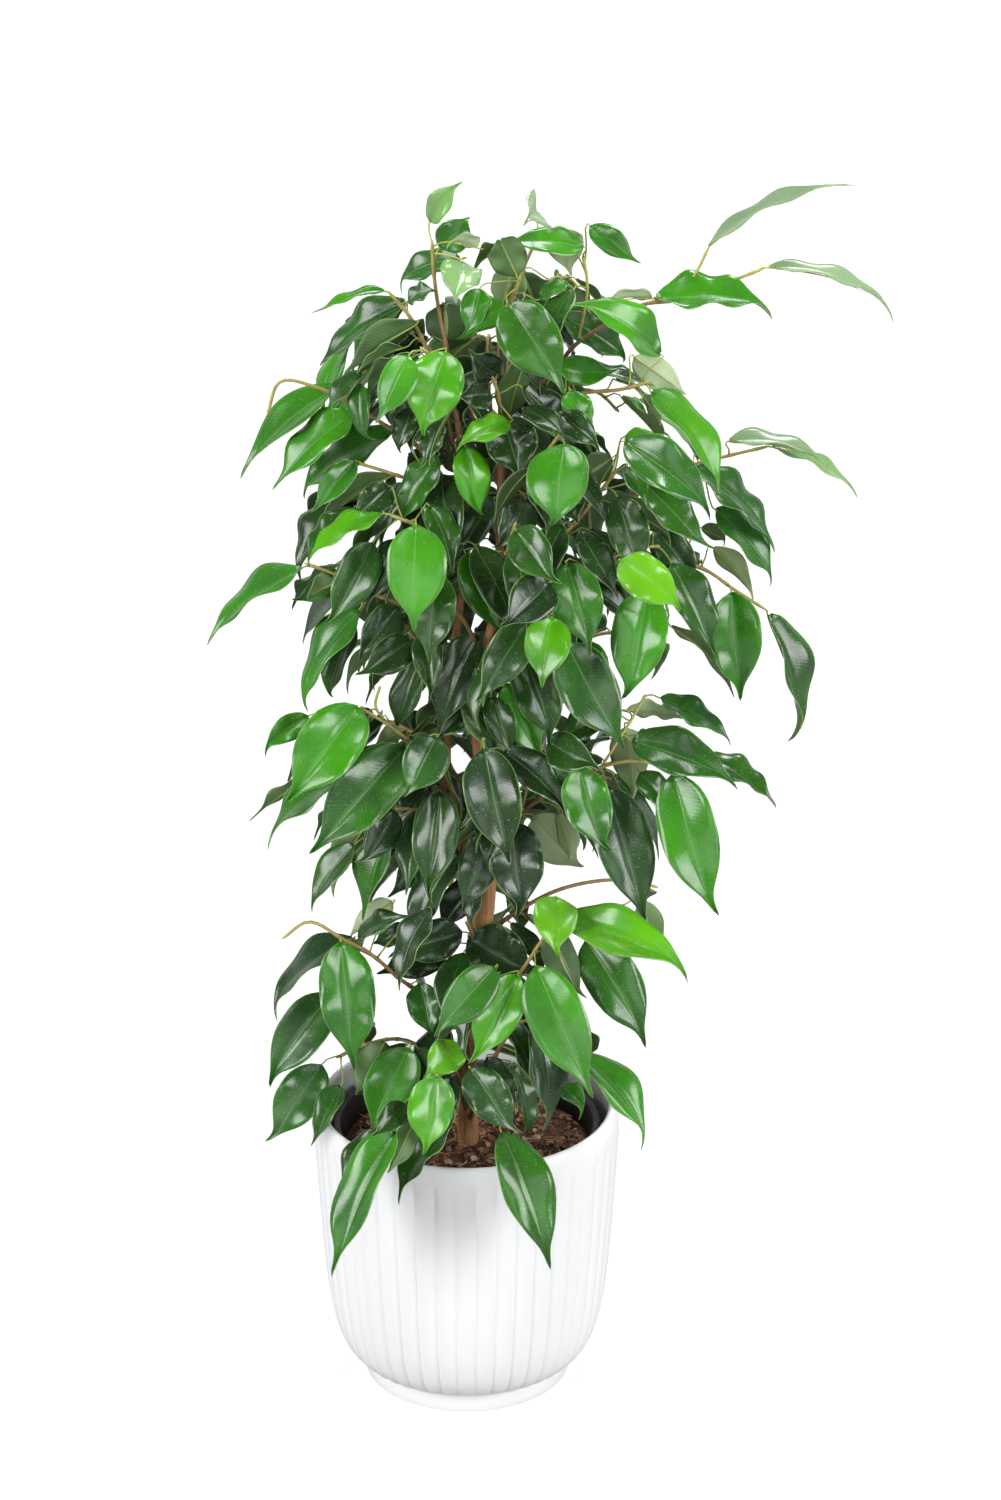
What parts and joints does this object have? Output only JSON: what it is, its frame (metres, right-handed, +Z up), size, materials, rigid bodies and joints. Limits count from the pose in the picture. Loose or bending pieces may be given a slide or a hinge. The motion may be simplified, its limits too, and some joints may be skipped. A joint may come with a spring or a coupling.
{
  "type": "potted weeping fig",
  "caption": "Upright weeping fig with drooping leafy sprays on a forked trunk, standing in soil in a nursery pot inside a white ribbed outer pot.",
  "frame": {"origin": "centre of the outer pot's foot, on the surface that it stands on", "axes": "+Z up along the pot's axis, -Y towards the front of the plant, +X to the right as seen from the front"},
  "size_m": [0.4677, 0.3608, 0.8991],
  "materials": {
    "white_glaze": "smooth satin white glaze",
    "black_plastic": "thin moulded black plastic",
    "potting_soil": null,
    "bark": "reddish-brown bark",
    "leaf_green": null
  },
  "bodies": {
    "root": {"cachepot": "white_glaze", "nursery_pot": "black_plastic", "soil": "potting_soil", "trunk": "bark", "leafy_centre_front": "leaf_green", "leafy_centre_left": "leaf_green", "leafy_centre_low": "leaf_green", "leafy_centre_lower": "leaf_green", "leafy_centre_upper": "leaf_green", "leafy_crown_centre": "leaf_green", "leafy_crown_core": "leaf_green", "leafy_crown_left": "leaf_green", "leafy_fork_front": "leaf_green", "leafy_left_low": "leaf_green", "leafy_left_lower": "leaf_green", "leafy_left_mid": "leaf_green", "leafy_left_mid_front": "leaf_green", "leafy_left_mid_low": "leaf_green", "leafy_left_top": "leaf_green", "leafy_left_top_front": "leaf_green", "leafy_left_upper": "leaf_green", "leafy_left_upper_low": "leaf_green", "leafy_low_front": "leaf_green", "leafy_low_front_left": "leaf_green", "leafy_low_left": "leaf_green", "leafy_low_left_rim": "leaf_green", "leafy_low_right": "leaf_green", "leafy_rear_01": "leaf_green", "leafy_rear_02": "leaf_green", "leafy_rear_03": "leaf_green", "leafy_rear_04": "leaf_green", "leafy_rear_05": "leaf_green", "leafy_rear_06": "leaf_green", "leafy_rear_07": "leaf_green", "leafy_rear_08": "leaf_green", "leafy_rear_09": "leaf_green", "leafy_rear_10": "leaf_green", "leafy_rear_11": "leaf_green", "leafy_rear_12": "leaf_green", "leafy_rear_13": "leaf_green", "leafy_rear_14": "leaf_green", "leafy_rear_15": "leaf_green", "leafy_rear_16": "leaf_green", "leafy_rear_17": "leaf_green", "leafy_rear_18": "leaf_green", "leafy_right_far": "leaf_green", "leafy_right_front": "leaf_green", "leafy_right_front_low": "leaf_green", "leafy_right_low": "leaf_green", "leafy_right_mid": "leaf_green", "leafy_right_upper": "leaf_green", "leafy_rim_front": "leaf_green", "leafy_rim_right": "leaf_green", "leafy_upper_front": "leaf_green", "leafy_upper_right_shoot": "leaf_green"}
  },
  "joints": []
}
